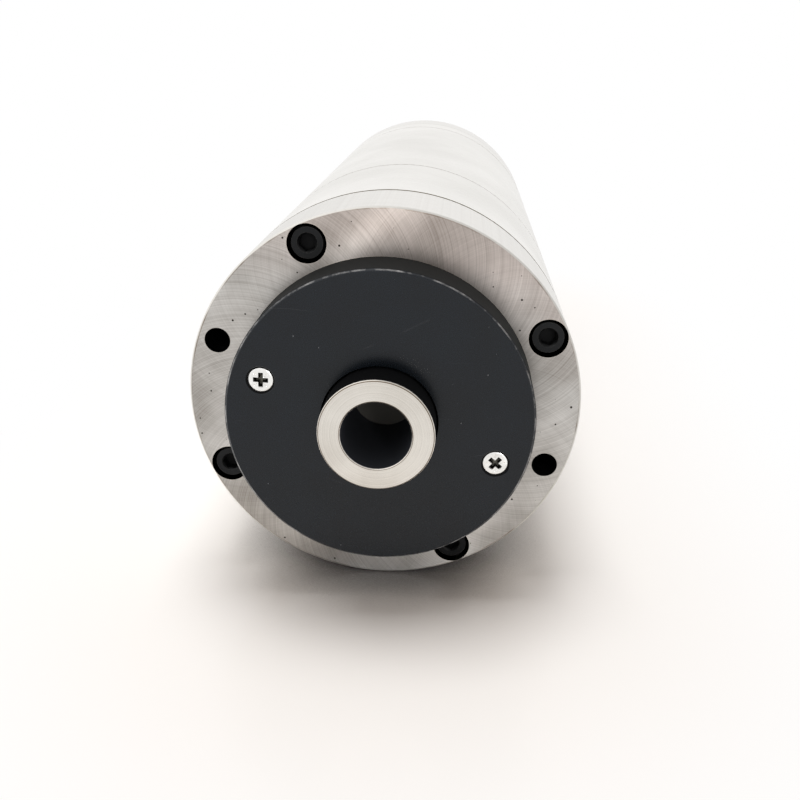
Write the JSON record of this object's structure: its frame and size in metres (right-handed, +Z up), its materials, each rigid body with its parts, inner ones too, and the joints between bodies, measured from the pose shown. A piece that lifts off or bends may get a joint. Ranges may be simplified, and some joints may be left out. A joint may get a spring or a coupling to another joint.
{
  "type": "grinding spindle motor",
  "caption": "Round-bodied grinding spindle motor with a ground front flange, black nose cover, bored rotating nose, water-cooled motor section and rear power and water connections.",
  "frame": {"origin": "centre of the front flange's ground face, on the spindle axis", "axes": "+Y along the spindle axis from the nose to the rear, +Z up, +X to the right seen from the nose"},
  "size_m": [0.1, 0.2953, 0.1],
  "materials": {
    "ground_steel": "ground steel with curved grinding marks",
    "body_steel": "finely ground bright steel",
    "shaft_steel": "fine turned hardened steel",
    "black_anodised": "satin black anodised",
    "zinc_steel": "bright zinc plated",
    "black_oxide_steel": "black oxide",
    "bearing_steel": "ground bearing steel",
    "ball_steel": "polished bearing steel",
    "phenolic_resin": "fabric filled phenolic resin",
    "sleeve_aluminium": "turned aluminium",
    "cast_aluminium": "cast aluminium",
    "seal_rubber": "nitrile rubber",
    "lamination_steel": "stacked electrical steel",
    "enamelled_copper": "varnished copper wire",
    "spring_steel": "hardened spring steel",
    "nickelled_brass": "nickel plated brass",
    "balance_brass": "turned brass",
    "gilt_brass": "gold flashed brass",
    "nylon": "natural nylon",
    "black_plastic": "moulded black plastic"
  },
  "bodies": {
    "housing": {"front_flange": "ground_steel", "nose_cover": "black_anodised", "cover_screws": "zinc_steel", "flange_screws": "black_oxide_steel", "front_bearing_housing": "body_steel", "first_bearing_outer_ring": "bearing_steel", "second_bearing_outer_ring": "bearing_steel", "outer_spacer": "ground_steel", "motor_tube": "body_steel", "cooling_sleeve": "sleeve_aluminium", "front_o_ring": "seal_rubber", "rear_o_ring": "seal_rubber", "stator_core": "lamination_steel", "stator_windings": "enamelled_copper", "rear_bearing_housing": "body_steel", "bearing_cartridge": "ground_steel", "preload_springs": "spring_steel", "rear_bearing_outer_ring": "bearing_steel", "rear_cover": "body_steel", "rear_screws": "black_oxide_steel", "nozzle_washers": "nylon", "hose_nozzles": "nickelled_brass", "receptacle_shell": "nickelled_brass", "receptacle_nut": "nickelled_brass", "receptacle_insert": "black_plastic", "receptacle_pins": "gilt_brass"},
    "shaft": {"spindle_shaft": "shaft_steel", "slinger_ring": "ground_steel", "front_lock_nut": "black_oxide_steel", "first_bearing_inner_ring": "bearing_steel", "second_bearing_inner_ring": "bearing_steel", "inner_spacer": "ground_steel", "rotor_core": "lamination_steel", "rotor_cage": "cast_aluminium", "front_balance_ring": "balance_brass", "rear_balance_ring": "balance_brass", "rear_bearing_inner_ring": "bearing_steel", "rear_lock_nut": "black_oxide_steel"},
    "first_balls": {"first_bearing_cage": "phenolic_resin", "first_bearing_balls": "ball_steel"},
    "second_balls": {"second_bearing_cage": "phenolic_resin", "second_bearing_balls": "ball_steel"},
    "rear_balls": {"rear_bearing_cage": "phenolic_resin", "rear_bearing_balls": "ball_steel"}
  },
  "joints": [
    {"name": "shaft_spin", "type": "hinge", "parent": "housing", "child": "shaft", "pos_m": [0, 0, 0], "axis": [0, 1, 0], "continuous": true},
    {"name": "first_cage_spin", "type": "hinge", "parent": "housing", "child": "first_balls", "pos_m": [0, 0, 0], "axis": [0, 1, 0], "continuous": true},
    {"name": "second_cage_spin", "type": "hinge", "parent": "housing", "child": "second_balls", "pos_m": [0, 0, 0], "axis": [0, 1, 0], "continuous": true},
    {"name": "rear_cage_spin", "type": "hinge", "parent": "housing", "child": "rear_balls", "pos_m": [0, 0, 0], "axis": [0, 1, 0], "continuous": true}
  ],
  "couplings": [
    {"joint": "first_cage_spin", "follows": "shaft_spin", "ratio": 0.41882},
    {"joint": "second_cage_spin", "follows": "shaft_spin", "ratio": 0.41882},
    {"joint": "rear_cage_spin", "follows": "shaft_spin", "ratio": 0.41481}
  ]
}
